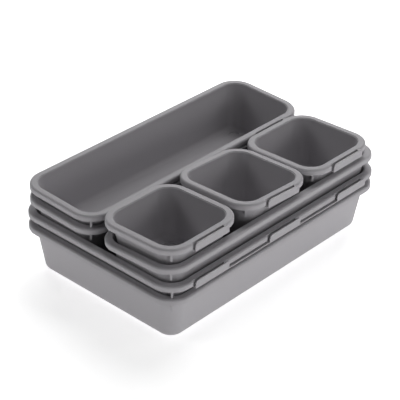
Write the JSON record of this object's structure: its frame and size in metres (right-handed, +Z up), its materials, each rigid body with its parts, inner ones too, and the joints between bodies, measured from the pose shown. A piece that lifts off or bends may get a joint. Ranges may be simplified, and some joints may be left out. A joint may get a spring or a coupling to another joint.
{
  "type": "drawer organizer tray set",
  "caption": "Nested stack of rectangular drawer organizer trays with turned-down rims, stacking ribs and hook tabs that link them side by side.",
  "frame": {"origin": "on the table, under the middle of the bottom tray", "axes": "+Y along the long sides of the large trays, away from the viewer; +X to the side that has the upper large tray's hook tabs; +Z up"},
  "size_m": [0.1608, 0.24, 0.0837],
  "materials": {
    "tray_plastic": "satin mid-grey moulded plastic with a fine grain"
  },
  "bodies": {
    "large_tray_lower": {"large_tray_lower": "tray_plastic"},
    "large_tray_upper": {"large_tray_upper": "tray_plastic"},
    "long_tray_left_lower": {"long_tray_left_lower": "tray_plastic"},
    "long_tray_left_upper": {"long_tray_left_upper": "tray_plastic"},
    "long_tray_right": {"long_tray_right": "tray_plastic"},
    "small_tray_front": {"small_tray_front": "tray_plastic"},
    "small_tray_middle": {"small_tray_middle": "tray_plastic"},
    "small_tray_back": {"small_tray_back": "tray_plastic"}
  },
  "joints": [
    {"name": "large_upper_lift", "type": "slide", "parent": "large_tray_lower", "child": "large_tray_upper", "axis": [0, 0, 1], "range_m": [0, 0.06]},
    {"name": "left_lower_lift", "type": "slide", "parent": "large_tray_upper", "child": "long_tray_left_lower", "axis": [0, 0, 1], "range_m": [0, 0.06]},
    {"name": "left_upper_lift", "type": "slide", "parent": "long_tray_left_lower", "child": "long_tray_left_upper", "axis": [0, 0, 1], "range_m": [0, 0.06]},
    {"name": "right_long_lift", "type": "slide", "parent": "large_tray_upper", "child": "long_tray_right", "axis": [0, 0, 1], "range_m": [0, 0.06]},
    {"name": "small_front_lift", "type": "slide", "parent": "long_tray_right", "child": "small_tray_front", "axis": [0, 0, 1], "range_m": [0, 0.06]},
    {"name": "small_middle_lift", "type": "slide", "parent": "long_tray_right", "child": "small_tray_middle", "axis": [0, 0, 1], "range_m": [0, 0.06]},
    {"name": "small_back_lift", "type": "slide", "parent": "long_tray_right", "child": "small_tray_back", "axis": [0, 0, 1], "range_m": [0, 0.06]}
  ]
}
